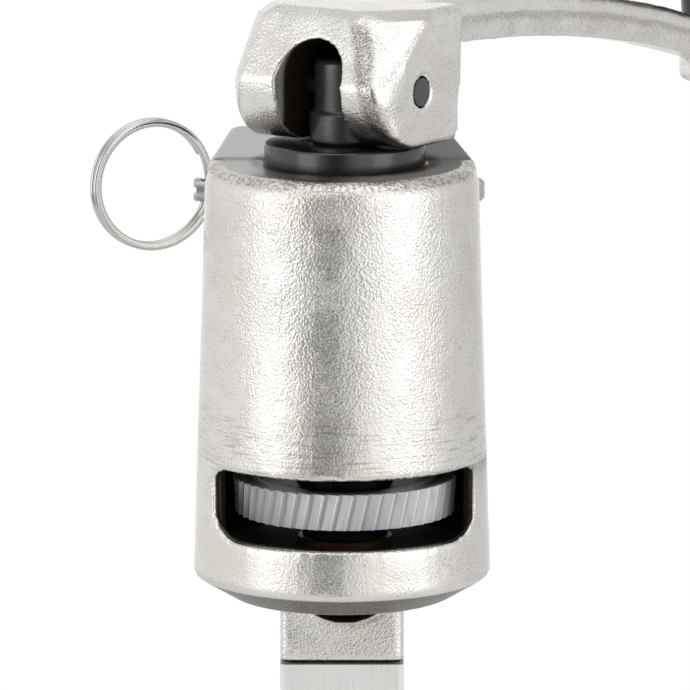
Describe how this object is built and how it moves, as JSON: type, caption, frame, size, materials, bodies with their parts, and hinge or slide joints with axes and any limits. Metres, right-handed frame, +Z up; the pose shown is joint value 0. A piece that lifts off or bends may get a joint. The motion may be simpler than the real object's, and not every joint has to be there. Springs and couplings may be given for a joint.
{
  "type": "bench can opener head",
  "caption": "Cast head on a square bar with a fork-ended crank lever, a serrated drive wheel behind a window, and a knife held by a pull-ring pin.",
  "frame": {"origin": "centre of the square bar's lower end face", "axes": "+Z up along the bar and the crank axis, -Y towards the window, +X to the right seen from the window side"},
  "size_m": [0.1471, 0.1696, 0.3552],
  "materials": {
    "cast_nickel": "nickel plated over a fine sand-cast grain, bright, roughness about 0.3",
    "bar_steel": "satin, brushed along its length",
    "bright_steel": "bright drawn steel",
    "knife_steel": "ground tool steel",
    "wheel_steel": "machined, cool grey, matt flats between bright tooth edges",
    "bronze": "sintered bearing bronze",
    "black_oxide": "black oxide on steel, satin",
    "black_plastic": "black bearing plastic, satin",
    "grip_plastic": "black phenolic, polished"
  },
  "bodies": {
    "head": {"head_casting": "cast_nickel", "stem_bar": "bar_steel", "stem_roll_pin": "bright_steel", "floor_bush": "bronze", "knife": "knife_steel"},
    "sleeve": {"flanged_sleeve": "black_plastic", "return_spring": "bright_steel"},
    "spindle": {"crank_shaft": "black_oxide", "sleeve_key": "bright_steel", "wheel_key": "bright_steel", "drive_wheel": "wheel_steel", "wheel_clip": "bright_steel"},
    "lever": {"crank_lever": "cast_nickel", "cross_pin": "black_oxide", "grip_bolt": "bright_steel", "grip_washer": "bright_steel", "grip_nut": "bright_steel"},
    "grip": {"crank_grip": "grip_plastic", "grip_cap": "grip_plastic"},
    "pull_pin": {"release_pin": "bright_steel"},
    "ring": {"split_ring": "bright_steel"}
  },
  "joints": [
    {"name": "crank_turn", "type": "hinge", "parent": "head", "child": "sleeve", "pos_m": [0.0006, 0, 0.2996], "axis": [0, 0, 1], "continuous": true},
    {"name": "spindle_lift", "type": "slide", "parent": "sleeve", "child": "spindle", "axis": [0, 0, 1], "range_m": [0, 0.00331], "deforming": ["return_spring"]},
    {"name": "lever_lift", "type": "hinge", "parent": "spindle", "child": "lever", "pos_m": [0.0006, 0, 0.3152], "axis": [0.8387, -0.5446, 0], "range_deg": [0, 90]},
    {"name": "grip_spin", "type": "hinge", "parent": "lever", "child": "grip", "pos_m": [0.0823, 0.1258, 0.31], "axis": [0, 0, 1], "continuous": true},
    {"name": "pin_pull", "type": "slide", "parent": "head", "child": "pull_pin", "axis": [-1, 0, 0], "range_m": [0, 0.056]},
    {"name": "ring_swing", "type": "hinge", "parent": "pull_pin", "child": "ring", "pos_m": [-0.0273, 0.0306, 0.2893], "axis": [0, 0, 1], "range_deg": [-60, 60]}
  ],
  "couplings": [
    {"joint": "spindle_lift", "follows": "lever_lift", "m_per_rad": 0.0021008}
  ]
}
